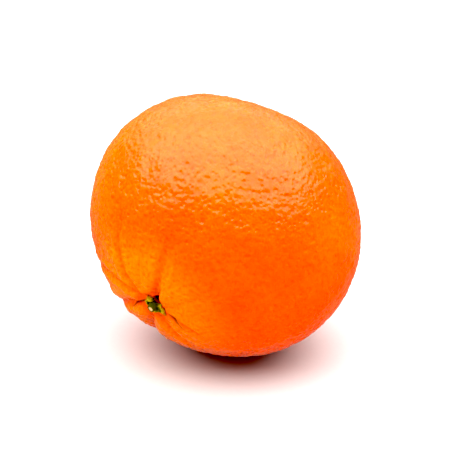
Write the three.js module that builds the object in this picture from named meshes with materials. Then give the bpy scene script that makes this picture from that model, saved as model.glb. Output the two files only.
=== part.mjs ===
// A whole sweet orange lying on its side, its stem end in front and a little below the middle.
// Millimetres, +Z up. The fruit rests on a small flat spot at Z = 0, and its stem points along -Y.
// The rind is a formula: how far it lies from the fruit's middle in each direction.
import * as THREE from "three";
import { mergeVertices } from "three/addons/utils/BufferGeometryUtils.js";

const { cos, sin, exp, abs, min, max, hypot, sqrt, PI } = Math;
const DEGREE = PI / 180;

// The whole fruit
const EQUATOR_RADIUS = 39.8; // square to the stem's axis
const STEM_RADIUS = 35.2; // from the middle to the shoulder round the stem
const BLOSSOM_RADIUS = 35.6; // from the middle to the far end
const SHOULDER_POWER = 2.05; // 2 gives an ellipse, more gives squarer shoulders
const STEM_DROP = 25; // degrees that the stem end points below level
const MIDDLE = new THREE.Vector3(0, -0.1, 38.35); // low enough to flatten the underside where it rests

// Broad swells and flats that take the fruit off a true round. Each one's place is given in the
// side view that shows the fruit best: degrees round that view's middle, and degrees out from it
const SIDE_VIEW = { azimuth: 37.5, elevation: 25 };
const SWELLS = [
  { round: 78, out: 90, height: -2.3, spread: 24 },
  { round: 36, out: 90, height: 0.3, spread: 22 },
  { round: 140, out: 90, height: 0.4, spread: 18 },
  { round: 210, out: 90, height: 0.4, spread: 12 },
  { round: 222, out: 90, height: 0.8, spread: 9 },
  { round: 229, out: 90, height: -0.6, spread: 14 },
  { round: 272, out: 90, height: -0.5, spread: 20 },
];

// The hollow that the stem grows from, and the seat in its floor for the calyx
const HOLLOW_DEPTH = 1.7;
const HOLLOW_RADIUS = 8.5;
const SEAT_DEPTH = 0.7;
const SEAT_RADIUS = 4.3;
const SEAT_WALL = 1.8; // how wide the seat's sloping wall is

// Furrows that run out of the hollow. Each one: where it leaves (degrees round the stem, 90 is up),
// how many degrees it bends by on its way, depth, half width, and distance at which it has faded
const FURROWS = [
  { turn: 62, bend: 5, depth: 0.9, width: 1.5, reach: 25 },
  { turn: 66, bend: 0, depth: 1.2, width: 1.9, reach: 9 },
  { turn: 138, bend: -30, depth: 0.8, width: 1.3, reach: 27 },
  { turn: 140, bend: 38, depth: 0.9, width: 1.4, reach: 28 },
  { turn: 190, bend: 20, depth: 1.3, width: 1.8, reach: 27 },
  { turn: 238, bend: 6, depth: 1.3, width: 1.8, reach: 27 },
  { turn: 287, bend: 5, depth: 0.7, width: 1.5, reach: 20 },
  { turn: 357, bend: -32, depth: 0.9, width: 1, reach: 17 },
  { turn: 20, bend: 6, depth: 0.3, width: 1.5, reach: 20 },
];
const FURROW_START = 3.4; // from the stem's axis
const FURROW_FULL = 6; // where a furrow has reached its depth
const LIP_SHARE = 0.35; // height of the swollen lips beside a furrow, as a share of its depth

// The pebbled rind: waves that cross each other in all directions
const PEBBLE_WAVES = 40;
const PEBBLE_HEIGHT = 0.07;
const PEBBLE_SHORTEST = 5.5;
const PEBBLE_LONGEST = 9;

// The far end: a shallow dimple round the small scar that the blossom left
const DIMPLE_DEPTH = 0.9;
const DIMPLE_RADIUS = 6;
const SCAR_DEPTH = 0.35;
const SCAR_RADIUS = 1.6;

// The calyx: a button of five lobes round a low collar, with the cut stem standing in the collar
const CALYX_RADIUS = 4.2;
const CALYX_THICKNESS = 0.6;
const LOBES = [1, 0.88, 0.96, 0.94, 1.12]; // length of each lobe, as a share of the calyx's radius
const LOBE_TURN = 38; // degrees round the stem to the first lobe's tip
const NOTCH_RADIUS = 2.9; // between two lobes
const COLLAR_HEIGHT = 0.5;
const COLLAR_INSIDE = 1.75;
const COLLAR_OUTSIDE = 2.3;
const STUB_RADIUS = 1.45;
const STUB_HEIGHT = 1.3;
const STUB_CHAMFER = 0.25;
const GAP = 0.3; // between two pieces that touch

// Fineness
const RIND_DETAIL = 23;
const RIND_CROWDING = 0.45; // how far the rind's points are drawn towards the stem end
const CALYX_STEPS = 60;
const STUB_STEPS = 24;

// The fruit's own axes: X level, Y up, Z out of the stem
const stemAxis = new THREE.Vector3(0, -cos(STEM_DROP * DEGREE), -sin(STEM_DROP * DEGREE));
const levelAxis = new THREE.Vector3(1, 0, 0);
const upAxis = new THREE.Vector3().crossVectors(stemAxis, levelAxis);
const fruitToWorld = new THREE.Matrix4().makeBasis(levelAxis, upAxis, stemAxis);
const worldToFruit = fruitToWorld.clone().transpose();

function smoothStep(from, to, value) {
  const share = min(max((value - from) / (to - from), 0), 1);
  return share * share * (3 - 2 * share);
}

// Unit vector at an angle from the stem's axis and a turn round it, both in radians
const directionAt = (angle, turn) =>
  new THREE.Vector3(sin(angle) * cos(turn), sin(angle) * sin(turn), cos(angle));

// A swell's place in the side view, as a unit vector in the fruit's own axes
function swellDirection({ round, out }) {
  const azimuth = SIDE_VIEW.azimuth * DEGREE;
  const elevation = SIDE_VIEW.elevation * DEGREE;
  const right = new THREE.Vector3(cos(azimuth), sin(azimuth), 0);
  const near = new THREE.Vector3(sin(azimuth), -cos(azimuth), 0)
    .multiplyScalar(cos(elevation))
    .setZ(sin(elevation));
  const up = new THREE.Vector3().crossVectors(near, right);
  return near
    .multiplyScalar(cos(out * DEGREE))
    .addScaledVector(right, sin(out * DEGREE) * cos(round * DEGREE))
    .addScaledVector(up, sin(out * DEGREE) * sin(round * DEGREE))
    .transformDirection(worldToFruit);
}

const swells = SWELLS.map((swell) => ({
  direction: swellDirection(swell),
  height: swell.height,
  sharpness: 2 / (swell.spread * DEGREE) ** 2,
}));

// The waves' directions are spread evenly over a ball by the golden angle
const GOLDEN_ANGLE = PI * (3 - sqrt(5));
const GOLDEN_SHARE = (sqrt(5) - 1) / 2;
const pebbleWaves = Array.from({ length: PEBBLE_WAVES }, (_, index) => {
  const angle = Math.acos(1 - (2 * index + 1) / PEBBLE_WAVES);
  const spread = (index * GOLDEN_SHARE) % 1;
  const length = PEBBLE_SHORTEST + (PEBBLE_LONGEST - PEBBLE_SHORTEST) * spread;
  return {
    turns: directionAt(angle, index * GOLDEN_ANGLE).multiplyScalar((2 * PI * EQUATOR_RADIUS) / length),
    phase: index * index,
  };
});

function pebbleHeight(direction) {
  let sum = 0;
  for (const wave of pebbleWaves) sum += sin(wave.turns.dot(direction) + wave.phase);
  return PEBBLE_HEIGHT * sqrt(2 / PEBBLE_WAVES) * sum;
}

// What one furrow and its two lips add to the rind, in mm. fromStem runs over the rind from the
// stem's axis, turn is in degrees round it, and ringRadius is the distance from that axis
function furrowHeight(furrow, fromStem, turn, ringRadius) {
  const middle = furrow.turn + furrow.bend * min(fromStem / furrow.reach, 1);
  const away = ((turn - middle + 540) % 360) - 180;
  if (abs(away) > 90) return 0;
  const offset = abs(ringRadius * sin(away * DEGREE)) / furrow.width;
  const groove = -((1 + offset ** 2) ** -1.5);
  const lip = LIP_SHARE * exp(-(((offset - 2.2) / 1.1) ** 2));
  const fade = smoothStep(FURROW_START, FURROW_FULL, fromStem) * exp(-((fromStem / furrow.reach) ** 3));
  return furrow.depth * fade * (groove + lip);
}

// How far the rind lies from the fruit's middle, in a direction in the fruit's own axes
function rindRadius(direction) {
  const ring = hypot(direction.x, direction.y);
  const poleRadius = direction.z > 0 ? STEM_RADIUS : BLOSSOM_RADIUS;
  const fromStem = STEM_RADIUS * Math.atan2(ring, direction.z);
  const fromBlossom = BLOSSOM_RADIUS * Math.atan2(ring, -direction.z);
  const turn = (Math.atan2(direction.y, direction.x) / DEGREE + 360) % 360;
  const roundness = (abs(direction.z) / poleRadius) ** SHOULDER_POWER;
  let radius = (roundness + (ring / EQUATOR_RADIUS) ** SHOULDER_POWER) ** (-1 / SHOULDER_POWER);
  for (const swell of swells)
    radius += swell.height * exp(-swell.sharpness * (1 - swell.direction.dot(direction)));
  radius -= HOLLOW_DEPTH * exp(-((fromStem / HOLLOW_RADIUS) ** 2));
  radius -= SEAT_DEPTH * (1 - smoothStep(SEAT_RADIUS, SEAT_RADIUS + SEAT_WALL, fromStem));
  for (const furrow of FURROWS) radius += furrowHeight(furrow, fromStem, turn, EQUATOR_RADIUS * ring);
  radius -= DIMPLE_DEPTH * exp(-((fromBlossom / DIMPLE_RADIUS) ** 2));
  radius -= SCAR_DEPTH * exp(-((fromBlossom / SCAR_RADIUS) ** 2));
  return radius + pebbleHeight(direction) * smoothStep(SEAT_RADIUS, 2 * SEAT_RADIUS, fromStem);
}

// A point at a height over the rind, in a direction in the fruit's own axes
const overRind = (direction, height) =>
  direction
    .clone()
    .multiplyScalar(rindRadius(direction) + height)
    .applyMatrix4(fruitToWorld)
    .add(MIDDLE);

// The rind: a ball whose points are crowded towards the stem end, then moved out to the formula.
// What would come out lower than the surface that the fruit lies on is the flat spot
function fruitGeometry() {
  const ball = new THREE.IcosahedronGeometry(1, RIND_DETAIL);
  ball.deleteAttribute("normal");
  ball.deleteAttribute("uv");
  const geometry = mergeVertices(ball, 1e-5);
  const position = geometry.getAttribute("position");
  for (let index = 0; index < position.count; index++) {
    const even = new THREE.Vector3().fromBufferAttribute(position, index);
    const angle = Math.atan2(hypot(even.x, even.y), even.z);
    const crowded = angle - RIND_CROWDING * sin(angle);
    const point = overRind(directionAt(crowded, Math.atan2(even.y, even.x)), 0);
    position.setXYZ(index, point.x, point.y, max(point.z, 0));
  }
  geometry.computeVertexNormals();
  return geometry;
}

// A closed solid swept round the stem's axis: a profile from the middle of its top, over its edge,
// to the middle of its underside. place gives the point of a profile entry at a turn
function sweptRound(profile, steps, place) {
  const rows = profile.slice(1, -1);
  const points = [place(profile[0], 0)];
  for (const entry of rows)
    for (let step = 0; step < steps; step++) points.push(place(entry, (2 * PI * step) / steps));
  const last = points.push(place(profile.at(-1), 0)) - 1;
  const at = (row, step) => 1 + row * steps + (step % steps);
  const faces = [];
  for (let step = 0; step < steps; step++) {
    faces.push(0, at(0, step), at(0, step + 1));
    for (let row = 0; row + 1 < rows.length; row++) {
      faces.push(at(row, step), at(row + 1, step), at(row + 1, step + 1));
      faces.push(at(row, step), at(row + 1, step + 1), at(row, step + 1));
    }
    faces.push(last, at(rows.length - 1, step + 1), at(rows.length - 1, step));
  }
  const geometry = new THREE.BufferGeometry().setFromPoints(points).setIndex(faces);
  geometry.computeVertexNormals();
  return geometry;
}

// Radius of the calyx's outline at a turn: five pointed lobes with round notches between them
function lobedRadius(turn) {
  const lobeAngle = (2 * PI) / LOBES.length;
  const place = (turn - LOBE_TURN * DEGREE) / lobeAngle + LOBES.length;
  const lobe = LOBES[Math.round(place) % LOBES.length];
  const pointed = 1 - abs(sin(PI * place)) ** 1.2;
  return NOTCH_RADIUS + (CALYX_RADIUS * lobe - NOTCH_RADIUS) * pointed;
}

function calyxGeometry() {
  const top = CALYX_THICKNESS;
  const foot = (COLLAR_OUTSIDE + NOTCH_RADIUS) / 2;
  const profile = [
    { radius: 0, height: top },
    { radius: COLLAR_INSIDE, height: top },
    { radius: COLLAR_INSIDE + 0.1, height: top + COLLAR_HEIGHT },
    { radius: COLLAR_OUTSIDE, height: top + COLLAR_HEIGHT },
    { radius: foot, height: top + COLLAR_HEIGHT / 5 },
    { radius: foot, lobe: 0.5, height: top },
    { radius: foot, lobe: 1, height: top },
    { radius: foot, lobe: 1, height: 0 },
    { radius: foot, lobe: 0.5, height: 0 },
    { radius: foot, height: 0 },
    { radius: COLLAR_INSIDE, height: 0 },
    { radius: 0, height: 0 },
  ];
  return sweptRound(profile, CALYX_STEPS, ({ radius, lobe = 0, height }, turn) => {
    const reach = radius + lobe * (lobedRadius(turn) - radius);
    return overRind(directionAt(reach / STEM_RADIUS, turn), GAP + height);
  });
}

function stemStubGeometry() {
  const profile = [
    { radius: 0, height: STUB_HEIGHT },
    { radius: STUB_RADIUS - STUB_CHAMFER, height: STUB_HEIGHT },
    { radius: STUB_RADIUS, height: STUB_HEIGHT - STUB_CHAMFER },
    { radius: STUB_RADIUS, height: 0 },
    { radius: 0, height: 0 },
  ];
  return sweptRound(profile, STUB_STEPS, ({ radius, height }, turn) =>
    overRind(directionAt(radius / STEM_RADIUS, turn), 2 * GAP + CALYX_THICKNESS + height),
  );
}

function piece(name, geometry, color, roughness) {
  const material = new THREE.MeshStandardMaterial({ color, roughness, metalness: 0 });
  const mesh = new THREE.Mesh(geometry, material);
  mesh.name = name;
  return mesh;
}

const orange = new THREE.Group();
orange.add(
  piece("fruit", fruitGeometry(), 0xf97a0c, 0.42),
  piece("calyx", calyxGeometry(), 0x8a8a2a, 0.7),
  piece("stem_stub", stemStubGeometry(), 0xd8c48c, 0.8),
);

export default orange;
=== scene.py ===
"""A whole sweet orange on its side: pebbled waxy rind, furrowed stem end, lobed calyx and cut stem.

The rind is one formula, how far it lies from the fruit's middle in each direction. Its furrows,
pebbles and oil-gland pits are parts of that formula, worked out in millimetres as whole arrays.
"""

import bpy
import numpy as np
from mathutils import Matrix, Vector


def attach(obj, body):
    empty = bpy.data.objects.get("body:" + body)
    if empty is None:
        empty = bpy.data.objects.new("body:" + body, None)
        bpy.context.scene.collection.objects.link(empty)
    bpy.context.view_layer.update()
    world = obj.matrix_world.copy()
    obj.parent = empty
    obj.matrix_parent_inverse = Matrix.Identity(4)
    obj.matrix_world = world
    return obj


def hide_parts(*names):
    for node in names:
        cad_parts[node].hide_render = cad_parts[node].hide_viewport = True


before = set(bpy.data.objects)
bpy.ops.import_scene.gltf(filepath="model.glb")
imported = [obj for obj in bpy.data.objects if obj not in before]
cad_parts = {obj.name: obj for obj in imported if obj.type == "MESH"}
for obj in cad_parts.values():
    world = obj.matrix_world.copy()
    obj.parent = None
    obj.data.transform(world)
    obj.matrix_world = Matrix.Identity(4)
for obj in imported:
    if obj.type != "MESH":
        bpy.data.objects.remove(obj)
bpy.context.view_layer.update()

MM = 0.001

# The fruit, in millimetres, as in the solids
EQUATOR_RADIUS = 39.8
STEM_RADIUS = 35.2
BLOSSOM_RADIUS = 35.6
SHOULDER_POWER = 2.05
STEM_DROP = 25  # degrees
MIDDLE = np.array([0, -0.1, 38.35])
SKIN_INSET = 0.18  # keeps the crests of the fine relief inside the solid's box

# Swells and flats: degrees round the middle of the side view, degrees out from it, height, spread
VIEW_AZIMUTH = 37.5
VIEW_ELEVATION = 25
SWELLS = [
    (78, 90, -2.3, 24),
    (36, 90, 0.3, 22),
    (140, 90, 0.4, 18),
    (210, 90, 0.4, 12),
    (222, 90, 0.8, 9),
    (229, 90, -0.6, 14),
    (272, 90, -0.5, 20),
]

HOLLOW_DEPTH = 1.7
HOLLOW_RADIUS = 8.5
SEAT_DEPTH = 0.7
SEAT_RADIUS = 4.3
SEAT_WALL = 1.8

# Furrows: turn round the stem and bend in degrees, depth, half width and reach in millimetres
FURROWS = [
    (62, 5, 0.9, 1.5, 25),
    (66, 0, 1.2, 1.9, 9),
    (138, -30, 0.8, 1.3, 27),
    (140, 38, 0.9, 1.4, 28),
    (190, 20, 1.3, 1.8, 27),
    (238, 6, 1.3, 1.8, 27),
    (287, 5, 0.7, 1.5, 20),
    (357, -32, 0.9, 1.0, 17),
    (20, 6, 0.3, 1.5, 20),
]
# Narrow creases that run out from under the calyx, as furrows, darkened with painted shade
CREASES = [
    (2, -36, 0.6, 0.5, 11),
    (172, 34, 0.7, 0.5, 11),
    (52, 6, 0.5, 0.45, 9),
]
# Distances off the stem at which furrows and creases start and reach their depth
FURROW_START = (3.4, 6)
CREASE_START = (2.6, 4.2)
LIP_SHARE = 0.35  # height of the round lips beside a furrow, as a share of its depth
LIP_OUT = 2.2  # where a lip's crest lies, in half widths of its furrow
LIP_SPREAD = 1.1

DIMPLE_DEPTH = 0.9
DIMPLE_RADIUS = 6
SCAR_DEPTH = 0.35
SCAR_RADIUS = 1.6

# Relief of the rind, as sets of crossing waves: how many, height, shortest and longest wave
PEBBLES = (40, 0.07, 5.5, 9.0)
LUMPS = (140, 0.056, 1.5, 2.7)

# Oil-gland pits, each with its own share of the full depth and radius
PIT_SPACING = 1.7
PIT_DEPTH = 0.16
PIT_RADIUS = 0.5
PIT_DEPTH_SHARES = (0.35, 1.0)
PIT_RADIUS_SHARES = (0.75, 1.3)
PIT_SCATTER = 0.3  # how far a pit lies off its even place, as a share of the spacing
PIT_CELL = 0.866  # the rind's area for each pit, as a share of the spacing squared
PIT_SEED = 7
PIT_BATCHES = 32  # parts of the rind worked out one after another, to save memory

# Pocket beside the stem, where the rind has drawn away from the calyx
POCKET_TURN = 50
POCKET_OUT = 2.9
POCKET_RADIUS = 1.5
POCKET_DEPTH = 2.2

# Calyx and stem
CALYX_RADIUS = 4.2
LOBES = np.array([1, 0.88, 0.96, 0.94, 1.12])
LOBE_TURN = 38
NOTCH_RADIUS = 2.9
CALYX_TOP = 0.9  # of the solid's lobes, over the rind
LOBE_DROP = 0.2  # how much lower the dry lobes lie here
CALYX_SUNK = 0.15  # how deep the calyx goes into the rind
COLLAR_TOP = 1.4
COLLAR_INSIDE = 1.75
COLLAR_OUTSIDE = 2.3
COLLAR_SPREAD = 0.36  # of its round crest
FOOT_SHARE = 0.6  # share of the calyx's rows that lie inside the foot of its lobes
LOBE_RIB = 0.1
LOBE_CURL = 0.35  # how far the edge of the lobes turns down
WRINKLE_HEIGHT = 0.05
PAST_POCKET = 1.2  # the calyx sinks this much deeper than the pocket, so it ends at its rim
POCKET_RIM = (0.02, 0.3)  # shares of the pocket between which the calyx sinks
STUB_RADIUS = 1.45
STUB_TOP = 2.3
STUB_TAPER = 0.28
STUB_SUNK = 0.5  # how deep the stem goes into the calyx
STUB_EDGE = 0.2  # rows this near the top belong to the cut end
CUT_HOLLOW = 0.18
PITH_DIP = 0.2
PITH_RADIUS = 0.14  # as a share of the stub's
CUT_ROUGHNESS = 0.05
CUT_SLOPE = 0.12
CUT_SLOPE_TURN = 1.2  # radians round the stem to the cut end's lowest side

PALE_END = (12, 30)  # the rind is yellower from the first to the second distance off the stem
PAINTED_LIGHT_SIDE = (160, 78, 0.4, 25)  # and painted light makes one side lighter, placed as a swell is, with its strength and spread
PAINTED_LIP_HIGHLIGHT = 0.6  # and a painted highlight lightens the lips of its furrows
PAINTED_LIP_HIGHLIGHT_HEIGHTS = (0.05, 0.3)

SEAT_SHADE_END = 8  # distance off the stem at which the painted shade of the seat ends
POCKET_PAINTED_SHADE = (0.05, 0.4)  # shares of the pocket between which painted shade turns the rind dark
CREASE_PAINTED_SHADE = (0.05, 0.35)  # depths of a crease between which painted shade does so
CREASE_PAINTED_SHADE_STRENGTH = 0.75
SCAR_DARKNESS = 0.95
SCAR_EDGE = (0.6, 1.1)  # shares of the scar's radius between which its brown ends
SCAR_RAGGEDNESS = 0.1

RIND_CELLS = 128  # squares along each side of the cube that the rind's mesh starts from
RIND_CROWDING = 0.3  # how far the rind's points are drawn towards the stem end
CALYX_STEPS = 240
STUB_STEPS = 160
GOLDEN_ANGLE = np.pi * (3 - np.sqrt(5))
GOLDEN_SHARE = (np.sqrt(5) - 1) / 2


def smooth_step(start, end, value):
    share = np.clip((value - start) / (end - start), 0, 1)
    return share * share * (3 - 2 * share)


def unit(vector):
    return vector / np.linalg.norm(vector, axis=-1, keepdims=True)


def view_axes(azimuth, elevation):
    """Right, up and towards the viewer, for a view from an azimuth and an elevation in degrees."""
    turn, tilt = np.radians([azimuth, elevation])
    right = np.array([np.cos(turn), np.sin(turn), 0])
    near = np.array([np.sin(turn) * np.cos(tilt), -np.cos(turn) * np.cos(tilt), np.sin(tilt)])
    return right, np.cross(near, right), near


def fruit_axes():
    """Rows: level, up and out of the stem, in the world's axes."""
    drop = np.radians(STEM_DROP)
    out = np.array([0, -np.cos(drop), -np.sin(drop)])
    level = np.array([1.0, 0, 0])
    return np.stack([level, np.cross(out, level), out])


AXES = fruit_axes()


def direction_at(angle, turn):
    """Unit vectors at an angle from the stem's axis and a turn round it, in radians."""
    return np.stack([np.sin(angle) * np.cos(turn), np.sin(angle) * np.sin(turn), np.cos(angle)], -1)


def even_directions(count):
    """Directions spread evenly over a ball: equal steps along its axis, a golden angle apart."""
    index = np.arange(count)
    return direction_at(np.arccos(1 - (2 * index + 1) / count), index * GOLDEN_ANGLE)


def crossing_waves(direction, count, height, shortest, longest):
    """Sum of plane waves that run in all directions and whose lengths lie between two limits."""
    index = np.arange(count)
    length = shortest + (longest - shortest) * ((index * GOLDEN_SHARE) % 1)
    turns = even_directions(count) * (2 * np.pi * EQUATOR_RADIUS / length)[:, None]
    total = np.sin(direction @ turns.T + index * index).sum(axis=1)
    return height * np.sqrt(2 / count) * total


def furrow_height(furrow, start_and_full, from_stem, turn, ring_radius):
    """A groove whose section falls off as one over the cube of the distance, between two round lips."""
    start, bend, depth, width, reach = furrow
    middle = start + bend * np.minimum(from_stem / reach, 1)
    away = (turn - middle + 540) % 360 - 180
    offset = np.abs(ring_radius * np.sin(np.radians(away))) / width
    groove = -((1 + offset**2) ** -1.5)
    lip = LIP_SHARE * np.exp(-(((offset - LIP_OUT) / LIP_SPREAD) ** 2))
    fade = smooth_step(*start_and_full, from_stem) * np.exp(-((from_stem / reach) ** 3))
    return np.where(np.abs(away) > 90, 0, depth * fade * (groove + lip))


def all_furrows(furrows, start_and_full, from_stem, turn, ring):
    """The heights of a set of furrows together, with the ring's radius as a share of the equator's."""
    sizes = (from_stem, turn, EQUATOR_RADIUS * ring)
    return sum(furrow_height(furrow, start_and_full, *sizes) for furrow in furrows)


def place_on_rind(direction):
    """Distance over the rind from the stem and from the blossom end, turn in degrees, ring radius."""
    x, y, z = direction.T
    ring = np.hypot(x, y)
    from_stem = STEM_RADIUS * np.arctan2(ring, z)
    from_blossom = BLOSSOM_RADIUS * np.arctan2(ring, -z)
    return from_stem, from_blossom, np.degrees(np.arctan2(y, x)) % 360, ring


def bell_at(direction, round_view, out, spread):
    """A round patch in the side view, 1 in its middle: a bell of the angle from its middle."""
    round_view, out, spread = np.radians([round_view, out, spread])
    right, up, near = view_axes(VIEW_AZIMUTH, VIEW_ELEVATION)
    sideways = right * np.cos(round_view) + up * np.sin(round_view)
    centre = AXES @ (near * np.cos(out) + sideways * np.sin(out))
    return np.exp(-2 * (1 - direction @ centre) / spread**2)


def rind_radius(direction):
    """A flattened ball, with swells, the stem's hollow and seat, furrows, dimple, scar and pebbles."""
    from_stem, from_blossom, turn, ring = place_on_rind(direction)
    z = direction[:, 2]
    pole = np.where(z > 0, STEM_RADIUS, BLOSSOM_RADIUS)
    power = SHOULDER_POWER
    radius = ((np.abs(z) / pole) ** power + (ring / EQUATOR_RADIUS) ** power) ** (-1 / power)
    for round_view, out, height, spread in SWELLS:
        radius += height * bell_at(direction, round_view, out, spread)
    radius -= HOLLOW_DEPTH * np.exp(-((from_stem / HOLLOW_RADIUS) ** 2))
    radius -= SEAT_DEPTH * (1 - smooth_step(SEAT_RADIUS, SEAT_RADIUS + SEAT_WALL, from_stem))
    radius += all_furrows(FURROWS, FURROW_START, from_stem, turn, ring)
    radius += all_furrows(CREASES, CREASE_START, from_stem, turn, ring)
    radius -= DIMPLE_DEPTH * np.exp(-((from_blossom / DIMPLE_RADIUS) ** 2))
    radius -= SCAR_DEPTH * np.exp(-((from_blossom / SCAR_RADIUS) ** 2))
    pebbled = smooth_step(SEAT_RADIUS, 2 * SEAT_RADIUS, from_stem)
    return radius + crossing_waves(direction, *PEBBLES) * pebbled


def over_rind(direction, height):
    """Points at a height over the rind, in the world's axes."""
    radius = rind_radius(direction) - SKIN_INSET + height
    return (direction * radius[:, None]) @ AXES + MIDDLE


def pit_share(direction):
    """How deep in an oil-gland pit each direction is, 0 to 1: a round dip about the nearest of many
    even directions, each pushed a little off its place and given its own depth and width."""
    rng = np.random.default_rng(PIT_SEED)
    count = int(4 * np.pi * EQUATOR_RADIUS**2 / (PIT_CELL * PIT_SPACING**2))
    spread = PIT_SCATTER * PIT_SPACING / EQUATOR_RADIUS
    centres = unit(even_directions(count) + rng.normal(0, spread, (count, 3)))
    depth = rng.uniform(*PIT_DEPTH_SHARES, count)
    width = PIT_RADIUS * rng.uniform(*PIT_RADIUS_SHARES, count)
    share = np.zeros(len(direction))
    for part in np.array_split(np.arange(len(direction)), PIT_BATCHES):
        nearness = direction[part].astype(np.float32) @ centres.T.astype(np.float32)
        best = nearness.argmax(axis=1)
        distance = EQUATOR_RADIUS * np.linalg.norm(direction[part] - centres[best], axis=1)
        share[part] = depth[best] * np.exp(-((distance / width[best]) ** 2))
    return share


def pocket_share(direction):
    """1 in the middle of the pocket beside the stem, with steep sides: a bell of the fourth power."""
    centre = direction_at(POCKET_OUT / STEM_RADIUS, np.radians(POCKET_TURN))
    distance = STEM_RADIUS * np.linalg.norm(direction - centre, axis=-1)
    return np.exp(-((distance / POCKET_RADIUS) ** 4))


def ball_grid(cells):
    """Directions and squares of a cube's surface blown up to a ball. Each side is a grid of equal
    angles, and whole-number places on the cube make the shared edges the same points."""
    steps = np.arange(cells + 1) * 2 - cells
    first, second = np.meshgrid(steps, steps, indexing="ij")
    third = np.full_like(first, cells)
    corner = (np.arange(cells)[:, None] * (cells + 1) + np.arange(cells)).ravel()
    square = np.stack([corner, corner + cells + 1, corner + cells + 2, corner + 1], -1)
    sides = [(first, second, third), (second, first, -third)]
    grids = [np.stack(side, -1).reshape(-1, 3) for side in sides]
    turned = [np.roll(grid, shift, axis=1) for grid in grids for shift in range(3)]
    squares = [square + number * len(grids[0]) for number in range(6)]
    places, index = np.unique(np.concatenate(turned), axis=0, return_inverse=True)
    return unit(np.tan(places * (np.pi / 4 / cells))), index.ravel()[np.concatenate(squares)]


def new_piece(name, points, faces, materials, node, attributes=None):
    """A smooth mesh from points in millimetres, riding on the fruit's body in place of its node."""
    mesh = bpy.data.meshes.new(name)
    mesh.from_pydata((points * MM).tolist(), [], faces)
    mesh.polygons.foreach_set("use_smooth", np.ones(len(mesh.polygons), dtype=bool))
    for key, values in (attributes or {}).items():
        layer = mesh.attributes.new(key, "FLOAT", "POINT")
        layer.data.foreach_set("value", np.asarray(values, dtype=np.float32))
    for material in materials:
        mesh.materials.append(material)
    mesh.update()
    piece = bpy.data.objects.new(name, mesh)
    bpy.context.scene.collection.objects.link(piece)
    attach(piece, "root")
    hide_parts(node)
    return piece


def linear(hex_colour):
    """An sRGB hex colour as linear red, green, blue and alpha."""
    value = np.array([int(hex_colour[start : start + 2], 16) for start in (1, 3, 5)]) / 255
    low = value / 12.92
    high = ((value + 0.055) / 1.055) ** 2.4
    return (*np.where(value <= 0.04045, low, high).tolist(), 1.0)


def add(tree, kind, settings=None, links=None):
    """Adds a node. Settings are its own properties, its sockets' values and a colour ramp's stops;
    links are the outputs that feed its sockets."""
    node = tree.nodes.new(kind)
    for key, value in (settings or {}).items():
        if key == "stops":
            ramp = node.color_ramp.elements
            ramp[0].position, ramp[0].color = value[0][0], linear(value[0][1])
            ramp[1].position, ramp[1].color = value[-1][0], linear(value[-1][1])
            for place, colour in value[1:-1]:
                ramp.new(place).color = linear(colour)
        elif isinstance(key, str) and hasattr(node, key):
            setattr(node, key, value)
        else:
            node.inputs[key].default_value = value
    for key, source in (links or {}).items():
        tree.links.new(source, node.inputs[key])
    return node


# Sockets of a colour Mix node, which share their names with its other kinds
MIX_A = 6
MIX_B = 7
MIX_RESULT = 2


# How much the glands redden the peel in their own colour and the grooves and seat as painted shade,
# beside a pit's 1, and how strong it all is
GLAND_TONE = 0.25
PAINTED_GROOVE_SHADE = 1.2
GLAND_AND_PAINTED_SHADE_STRENGTH = 0.45


def new_material(name):
    """A material with an empty tree."""
    material = bpy.data.materials.new(name)
    material.use_nodes = True
    material.node_tree.nodes.clear()
    return material, material.node_tree


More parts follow.
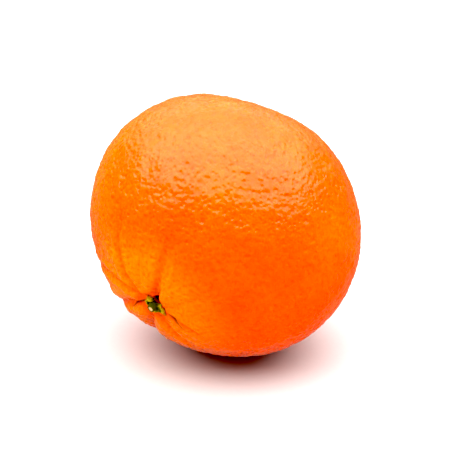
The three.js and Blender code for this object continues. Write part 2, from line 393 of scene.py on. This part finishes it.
def orange_peel():
    """Waxed orange peel: a saturated orange skin over white pith. Light goes in and comes out redder,
    the wax gives a broad soft sheen, and the oil glands a fine pitting all over. It is yellower near
    the stem in its own colour; painted light makes one side and the lips of the furrows paler, and
    painted shade darkens the grooves, the stem's seat, the pocket and the creases."""
    material, tree = new_material("waxed_orange_peel")
    place = add(tree, "ShaderNodeTexCoord").outputs["Object"]
    pit = add(tree, "ShaderNodeAttribute", {"attribute_name": "pit"}).outputs["Fac"]
    groove = add(tree, "ShaderNodeAttribute", {"attribute_name": "groove"}).outputs["Fac"]
    pale = add(tree, "ShaderNodeAttribute", {"attribute_name": "pale"}).outputs["Fac"]
    dark = add(tree, "ShaderNodeAttribute", {"attribute_name": "dark"}).outputs["Fac"]
    scar = add(tree, "ShaderNodeAttribute", {"attribute_name": "scar"}).outputs["Fac"]
    patches = add(
        tree, "ShaderNodeTexNoise", {"Scale": 1 / (18 * MM), "Detail": 3.0}, {"Vector": place}
    )
    base = add(
        tree,
        "ShaderNodeValToRGB",
        {"stops": [(0.3, "#F85500"), (0.5, "#FA5C00"), (0.7, "#FC6400")]},
        {"Fac": patches.outputs["Fac"]},
    )
    # yellower near the stem in its own colour, paler on one side and along the furrows' lips as painted
    # light
    with_yellowing_and_painted_light = add(
        tree,
        "ShaderNodeMix",
        {"data_type": "RGBA", MIX_B: linear("#FA8008")},
        {"Factor": pale, MIX_A: base.outputs["Color"]},
    )
    glands = add(
        tree,
        "ShaderNodeTexVoronoi",
        {"feature": "SMOOTH_F1", "Scale": 1 / (1.3 * MM), "Smoothness": 0.5},
        {"Vector": place},
    )
    gland_depth = add(
        tree,
        "ShaderNodeMapRange",
        {"From Min": 0.1, "From Max": 0.5, "To Min": 1.0, "To Max": 0.0},
        {"Value": glands.outputs["Distance"]},
    )
    pits_and_glands = add(
        tree,
        "ShaderNodeMath",
        {"operation": "MULTIPLY_ADD", 1: GLAND_TONE},
        {0: gland_depth.outputs[0], 2: pit},
    )
    glands_and_painted_shade = add(
        tree,
        "ShaderNodeMath",
        {"operation": "MULTIPLY_ADD", 1: PAINTED_GROOVE_SHADE},
        {0: groove, 2: pits_and_glands.outputs[0]},
    )
    glands_and_painted_shade_share = add(
        tree,
        "ShaderNodeMath",
        {"operation": "MULTIPLY", 1: GLAND_AND_PAINTED_SHADE_STRENGTH, "use_clamp": True},
        {0: glands_and_painted_shade.outputs[0]},
    )
    # pits and glands redden the peel in its own colour; grooves and the stem's seat get painted shade
    colour = add(
        tree,
        "ShaderNodeMix",
        {"data_type": "RGBA", MIX_B: linear("#E04400")},
        {"Factor": glands_and_painted_shade_share.outputs[0], MIX_A: with_yellowing_and_painted_light.outputs[MIX_RESULT]},
    )
    # near-black painted shade in the pocket beside the stem and in the creases
    with_painted_crevice_shade = add(
        tree,
        "ShaderNodeMix",
        {"data_type": "RGBA", MIX_B: linear("#1E0C03")},
        {"Factor": dark, MIX_A: colour.outputs[MIX_RESULT]},
    )
    with_scar = add(
        tree,
        "ShaderNodeMix",
        {"data_type": "RGBA", MIX_B: linear("#5A3A1A")},
        {"Factor": scar, MIX_A: with_painted_crevice_shade.outputs[MIX_RESULT]},
    )
    wear = add(
        tree, "ShaderNodeTexNoise", {"Scale": 1 / (3 * MM), "Detail": 4.0}, {"Vector": place}
    )
    roughness = add(
        tree,
        "ShaderNodeMapRange",
        {"From Min": 0.3, "From Max": 0.7, "To Min": 0.24, "To Max": 0.3},
        {"Value": wear.outputs["Fac"]},
    )
    grain = add(
        tree, "ShaderNodeTexNoise", {"Scale": 1 / (0.6 * MM), "Detail": 3.0}, {"Vector": place}
    )
    fine_bump = add(
        tree,
        "ShaderNodeBump",
        {"Strength": 1.0, "Distance": 0.03 * MM},
        {"Height": grain.outputs["Fac"]},
    )
    gland_bump = add(
        tree,
        "ShaderNodeBump",
        {"Strength": 1.0, "Distance": 0.13 * MM, "invert": True},
        {"Height": gland_depth.outputs[0], "Normal": fine_bump.outputs["Normal"]},
    )
    skin = add(
        tree,
        "ShaderNodeBsdfPrincipled",
        {
            "IOR": 1.45,
            "Specular IOR Level": 0.43,
            "Specular Tint": linear("#FFEEF8"),
            "Subsurface Weight": 0.25,
            "Subsurface Radius": (1.0, 0.25, 0.06),
            "Subsurface Scale": 2.5 * MM,
        },
        {
            "Base Color": with_scar.outputs[MIX_RESULT],
            "Roughness": roughness.outputs[0],
            "Normal": gland_bump.outputs["Normal"],
        },
    )
    add(tree, "ShaderNodeOutputMaterial", links={"Surface": skin.outputs[0]})
    return material


def dry_calyx():
    """Drying calyx: thin leathery green that yellows towards the tips of its lobes and browns at their
    very ends. Its near-black olive middle round the stem is partly its own deeper green and partly
    painted shade. It gives the eye a matt, mottled yellow-green star."""
    material, tree = new_material("drying_green_calyx")
    place = add(tree, "ShaderNodeTexCoord").outputs["Object"]
    outward = add(tree, "ShaderNodeAttribute", {"attribute_name": "outward"}).outputs["Fac"]
    mottle = add(
        tree, "ShaderNodeTexNoise", {"Scale": 1 / (1.2 * MM), "Detail": 5.0}, {"Vector": place}
    )
    mixed = add(
        tree,
        "ShaderNodeMath",
        {"operation": "MULTIPLY_ADD", 1: 0.5},
        {0: outward, 2: mottle.outputs["Fac"]},
    )
    # dark olive towards the middle: partly the calyx's own deeper green, partly painted shade round the
    # stem
    base = add(
        tree,
        "ShaderNodeValToRGB",
        {"stops": [(0.55, "#2E2C08"), (0.72, "#6E7014"), (0.86, "#C4AC22"), (1.0, "#A87820")]},
        {"Fac": mixed.outputs[0]},
    )
    grain = add(
        tree, "ShaderNodeTexNoise", {"Scale": 1 / (0.25 * MM), "Detail": 4.0}, {"Vector": place}
    )
    bump = add(
        tree,
        "ShaderNodeBump",
        {"Strength": 1.0, "Distance": 0.06 * MM},
        {"Height": grain.outputs["Fac"]},
    )
    leaf = add(
        tree,
        "ShaderNodeBsdfPrincipled",
        {"Roughness": 0.62, "Specular IOR Level": 0.35},
        {"Base Color": base.outputs["Color"], "Normal": bump.outputs["Normal"]},
    )
    add(tree, "ShaderNodeOutputMaterial", links={"Surface": leaf.outputs[0]})
    return material


def cut_stem():
    """Cut citrus wood: a pale, dry, fibrous end inside a thin ring of green-brown bark, its own colour
    darkened further as painted shade on the stem's side.
    """
    material, tree = new_material("cut_citrus_wood")
    place = add(tree, "ShaderNodeTexCoord").outputs["Object"]
    outward = add(tree, "ShaderNodeAttribute", {"attribute_name": "outward"}).outputs["Fac"]
    fibres = add(
        tree, "ShaderNodeTexNoise", {"Scale": 1 / (0.35 * MM), "Detail": 5.0}, {"Vector": place}
    )
    mixed = add(
        tree,
        "ShaderNodeMath",
        {"operation": "MULTIPLY_ADD", 1: 0.3},
        {0: fibres.outputs["Fac"], 2: outward},
    )
    base = add(
        tree,
        "ShaderNodeValToRGB",
        {
            "stops": [
                (0.1, "#6A4A24"),
                (0.25, "#E0C69A"),
                (0.8, "#D2B47C"),
                # the bark: its own green-brown, darkened further as painted shade on the stem's side
                (0.92, "#46480F"),
                (1.0, "#545814"),
            ]
        },
        {"Fac": mixed.outputs[0]},
    )
    bump = add(
        tree,
        "ShaderNodeBump",
        {"Strength": 1.0, "Distance": 0.08 * MM},
        {"Height": fibres.outputs["Fac"]},
    )
    wood = add(
        tree,
        "ShaderNodeBsdfPrincipled",
        {"Roughness": 0.8, "Specular IOR Level": 0.3},
        {"Base Color": base.outputs["Color"], "Normal": bump.outputs["Normal"]},
    )
    add(tree, "ShaderNodeOutputMaterial", links={"Surface": wood.outputs[0]})
    return material


def make_rind():
    """The rind: a ball of squares crowded towards the stem end, moved out to the rind's formula with
    its lumps and pits, and flattened where it rests."""
    even, faces = ball_grid(RIND_CELLS)
    angle = np.arccos(np.clip(even[:, 2], -1, 1))
    turn = np.arctan2(even[:, 1], even[:, 0])
    direction = direction_at(angle - RIND_CROWDING * np.sin(angle), turn)
    from_stem, from_blossom, turn_degrees, ring = place_on_rind(direction)
    away_from_seat = smooth_step(SEAT_RADIUS, 2 * SEAT_RADIUS, from_stem)
    pit = pit_share(direction) * away_from_seat
    relief = crossing_waves(direction, *LUMPS) * away_from_seat - PIT_DEPTH * pit
    pocket = pocket_share(direction)
    points = over_rind(direction, relief - POCKET_DEPTH * pocket)
    points[:, 2] = np.maximum(points[:, 2], 0)
    furrows = all_furrows(FURROWS, FURROW_START, from_stem, turn_degrees, ring)
    # painted shade in the furrows and in the stem's seat
    groove = np.clip(-furrows, 0, 1) + (1 - smooth_step(SEAT_RADIUS, SEAT_SHADE_END, from_stem))
    round_view, out, strength, spread = PAINTED_LIGHT_SIDE
    # its own yellowing near the stem, plus painted light on one side and a painted highlight on the
    # lips
    pale = 1 - smooth_step(*PALE_END, from_stem)
    pale += strength * bell_at(direction, round_view, out, spread)
    pale += PAINTED_LIP_HIGHLIGHT * smooth_step(*PAINTED_LIP_HIGHLIGHT_HEIGHTS, furrows)
    creases = all_furrows(CREASES, CREASE_START, from_stem, turn_degrees, ring)
    # painted shade in the creases, and below it in the pocket beside the stem
    painted_crease_shade = CREASE_PAINTED_SHADE_STRENGTH * smooth_step(*CREASE_PAINTED_SHADE, -creases)
    ragged = from_blossom * (1 + SCAR_RAGGEDNESS * np.sin(np.radians(5 * turn_degrees)))
    scar_start, scar_end = SCAR_EDGE
    brown = 1 - smooth_step(scar_start * SCAR_RADIUS, scar_end * SCAR_RADIUS, ragged)
    attributes = {
        "pit": pit,
        "groove": np.clip(groove, 0, 1),
        "pale": np.clip(pale, 0, 1),
        "dark": np.maximum(smooth_step(*POCKET_PAINTED_SHADE, pocket), painted_crease_shade),
        "scar": SCAR_DARKNESS * brown,
    }
    new_piece("rind", points, faces.tolist(), [orange_peel()], "fruit", attributes)


def swept_round(profile_rows, steps, place):
    """A closed surface from the middle of its top over its edge to the middle of its underside.
    place gives the points of a row at the turns; each end row closes on one point."""
    turn = np.arange(steps) * 2 * np.pi / steps
    rows = [place(row, turn) for row in profile_rows]
    ends = [rows[0].mean(axis=0, keepdims=True), rows[-1].mean(axis=0, keepdims=True)]
    points = np.concatenate([*rows, *ends])
    first = np.arange(len(rows) - 1)[:, None] * steps
    step = np.arange(steps)
    after = (step + 1) % steps
    second = first + steps
    quads = np.stack([first + step, second + step, second + after, first + after], -1)
    top = len(points) - 2
    last = (len(rows) - 1) * steps
    fans = np.concatenate(
        [
            np.stack([np.full(steps, top), step, after], -1),
            np.stack([np.full(steps, top + 1), last + after, last + step], -1),
        ]
    )
    return points, quads.reshape(-1, 4).tolist() + fans.tolist()


def lobed_radius(turn):
    """The calyx's outline: five pointed lobes of their own lengths, with round notches between them."""
    place = (turn - np.radians(LOBE_TURN)) / (2 * np.pi / len(LOBES)) + len(LOBES)
    lobe = LOBES[np.round(place).astype(int) % len(LOBES)]
    pointed = 1 - np.abs(np.sin(np.pi * place)) ** 1.2
    return NOTCH_RADIUS + (CALYX_RADIUS * lobe - NOTCH_RADIUS) * pointed


def make_calyx():
    """The calyx: its radius runs from the axis to a round foot and on to the lobed outline. Its top
    rises into a collar, falls to the lobes, and carries a rib along each lobe and fine wrinkles."""
    foot = (COLLAR_OUTSIDE + NOTCH_RADIUS) / 2
    collar = (COLLAR_INSIDE + COLLAR_OUTSIDE) / 2
    top_rows = [(share, True) for share in np.linspace(0, 1, 56)]
    under_rows = [(share, False) for share in np.linspace(1, 0, 8)]

    def place(row, turn):
        share, top = row
        inner = foot * min(share / FOOT_SHARE, 1)
        lobe = max(share - FOOT_SHARE, 0) / (1 - FOOT_SHARE)
        radius = inner + lobe * (lobed_radius(turn) - foot)
        direction = direction_at(radius / STEM_RADIUS, turn)
        drawn_in = (POCKET_DEPTH + PAST_POCKET) * smooth_step(*POCKET_RIM, pocket_share(direction))
        if not top:
            return over_rind(direction, -CALYX_SUNK - drawn_in)
        round_lobe = (turn - np.radians(LOBE_TURN)) * len(LOBES)
        rib = LOBE_RIB * lobe * (1 - lobe) * 4 * np.cos(round_lobe)
        across = np.sin(23 * turn + 3 * radius)
        along = np.sin(2.7 * radius + 1.3 * turn)
        wrinkles = WRINKLE_HEIGHT * across * along
        curl = LOBE_CURL * lobe**6
        ring = (COLLAR_TOP - CALYX_TOP) * np.exp(-(((radius - collar) / COLLAR_SPREAD) ** 2))
        height = CALYX_TOP - LOBE_DROP + ring + rib + wrinkles - curl - drawn_in
        return over_rind(direction, height)

    rows = top_rows + under_rows
    points, faces = swept_round(rows, CALYX_STEPS, place)
    outward = np.concatenate([np.repeat([share for share, _ in rows], CALYX_STEPS), [0, 0]])
    new_piece("calyx_button", points, faces, [dry_calyx()], "calyx", {"outward": outward})


def make_stem_stub():
    """The cut stem: a short round post whose cut end is a little hollow, with a pith dip in its
    middle and a raised rim of bark, and whose side is ridged along its length."""
    foot = CALYX_TOP - STUB_SUNK
    cut_rows = [(share, STUB_TOP) for share in np.linspace(0, 0.94, 24)]
    edge_rows = [(0.98, STUB_TOP - 0.04), (1.0, STUB_TOP - 0.14)]
    side_rows = [(1.0, height) for height in np.linspace(STUB_TOP - 0.4, foot, 8)]
    rows = cut_rows + edge_rows + side_rows + [(0.0, foot)]

    def place(row, turn):
        share, height = row
        ridges = 1 + 0.03 * np.sin(3 * turn + 1) + 0.025 * np.sin(11 * turn) + 0.02 * np.sin(17 * turn)
        taper = 1 - STUB_TAPER * (height - CALYX_TOP) / (STUB_TOP - CALYX_TOP)
        ridged = ridges if share > 0.5 else 1 + (ridges - 1) * 2 * share
        radius = taper * STUB_RADIUS * share * ridged
        cut = height >= STUB_TOP - STUB_EDGE
        hollow = CUT_HOLLOW * (1 - share**2) + PITH_DIP * np.exp(-((share / PITH_RADIUS) ** 2))
        rough = CUT_ROUGHNESS * np.sin(9 * turn + 11 * share) * share
        slope = CUT_SLOPE * share * np.cos(turn - CUT_SLOPE_TURN)
        lowered = height - (hollow + rough + slope if cut else 0)
        return over_rind(direction_at(radius / STEM_RADIUS, turn), lowered * np.ones_like(turn))

    points, faces = swept_round(rows, STUB_STEPS, place)
    outward = np.concatenate([np.repeat([share for share, _ in rows], STUB_STEPS), [0, 0]])
    new_piece("stem_cut", points, faces, [cut_stem()], "stem_stub", {"outward": outward})


def make_floor():
    """A plain pale sheet under the fruit, wide enough to fill every view."""
    half = 3.0
    mesh = bpy.data.meshes.new("floor")
    corners = [(-half, -half, 0), (half, -half, 0), (half, half, 0), (-half, half, 0)]
    mesh.from_pydata(corners, [], [(0, 1, 2, 3)])
    material, tree = new_material("matt_pale_card")
    place = add(tree, "ShaderNodeTexCoord").outputs["Object"]
    tooth = add(
        tree, "ShaderNodeTexNoise", {"Scale": 1 / (1.5 * MM), "Detail": 2.0}, {"Vector": place}
    )
    paper = add(
        tree,
        "ShaderNodeValToRGB",
        {"stops": [(0.0, "#BCB9B8"), (1.0, "#C0BDBC")]},
        {"Fac": tooth.outputs["Fac"]},
    )
    card = add(
        tree,
        "ShaderNodeBsdfPrincipled",
        {"Roughness": 0.9, "Specular IOR Level": 0.2},
        {"Base Color": paper.outputs["Color"]},
    )
    add(tree, "ShaderNodeOutputMaterial", links={"Surface": card.outputs[0]})
    mesh.materials.append(material)
    floor = bpy.data.objects.new("floor", mesh)
    bpy.context.scene.collection.objects.link(floor)
    floor.visible_glossy = False  # a choice of look: its mirror image would veil the rind in pink


# Softboxes: metres to the camera's right, away from it and up, width and depth, brightness
OVERHEAD_SOFTBOX = (0.0, -0.12, 0.55, (2.2, 0.82), 5.25)
BACK_SOFTBOX = (0.0, 1.1, 0.55, (2.2, 1.62), 1.9)
ROOM_BRIGHTNESS = 0.44


def area_light(name, across, away, height, size, radiance):
    """A rectangular softbox placed from the camera's side: metres to its right, away from it and up,
    with the brightness of its face in place of a power."""
    turn = np.radians(CAMERA_AZIMUTH)
    right = Vector((np.cos(turn), np.sin(turn), 0))
    forward = Vector((-np.sin(turn), np.cos(turn), 0))
    light = bpy.data.lights.new(name, "AREA")
    light.shape = "RECTANGLE"
    light.size, light.size_y = size
    light.energy = radiance * np.pi * size[0] * size[1]
    lamp = bpy.data.objects.new(name, light)
    lamp.location = right * across + forward * away + Vector((0, 0, height))
    lamp.rotation_euler = (0, 0, turn)
    bpy.context.scene.collection.objects.link(lamp)


def make_light():
    """Soft studio light: a wide softbox overhead, a larger and dimmer one behind it, a pale room."""
    area_light("overhead_softbox", *OVERHEAD_SOFTBOX)
    area_light("back_softbox", *BACK_SOFTBOX)
    world = bpy.data.worlds.new("pale_room")
    world.use_nodes = True
    background = world.node_tree.nodes["Background"]
    background.inputs["Color"].default_value = (1, 1, 1, 1)
    background.inputs["Strength"].default_value = ROOM_BRIGHTNESS
    bpy.context.scene.world = world


# The camera: the photograph's viewing angle on this fruit, which lies off its middle, and twice its
# scale: 0.284 mm of fruit to a pixel of a picture 450 pixels wide
CAMERA_AZIMUTH = 41.0
CAMERA_ELEVATION = 24.9
CAMERA_DISTANCE = 0.711
CAMERA_LENS = 200.0  # mm, as is the sensor's width
CAMERA_SENSOR = 36.0

# The contrast of the picture
PRINT_BLACK = 0.058
PRINT_GAMMA = 1.15


def make_camera():
    camera = bpy.data.cameras.new("camera")
    camera.sensor_width = CAMERA_SENSOR
    camera.lens = CAMERA_LENS
    camera.clip_start = 0.01
    holder = bpy.data.objects.new("camera", camera)
    near = Vector(view_axes(CAMERA_AZIMUTH, CAMERA_ELEVATION)[2])
    holder.location = Vector(MIDDLE * MM) + near * CAMERA_DISTANCE
    holder.rotation_euler = near.to_track_quat("Z", "Y").to_euler()
    bpy.context.scene.collection.objects.link(holder)
    bpy.context.scene.camera = holder


def set_contrast():
    """The contrast of a studio print: the darkest tones are cut off and the middle ones deepened."""
    settings = bpy.context.scene.view_settings
    settings.view_transform = "Standard"
    settings.gamma = 1 / PRINT_GAMMA
    settings.use_curve_mapping = True
    settings.curve_mapping.black_level = (PRINT_BLACK,) * 3
    settings.curve_mapping.update()


make_camera()
make_light()
make_floor()
make_rind()
make_calyx()
make_stem_stub()
set_contrast()
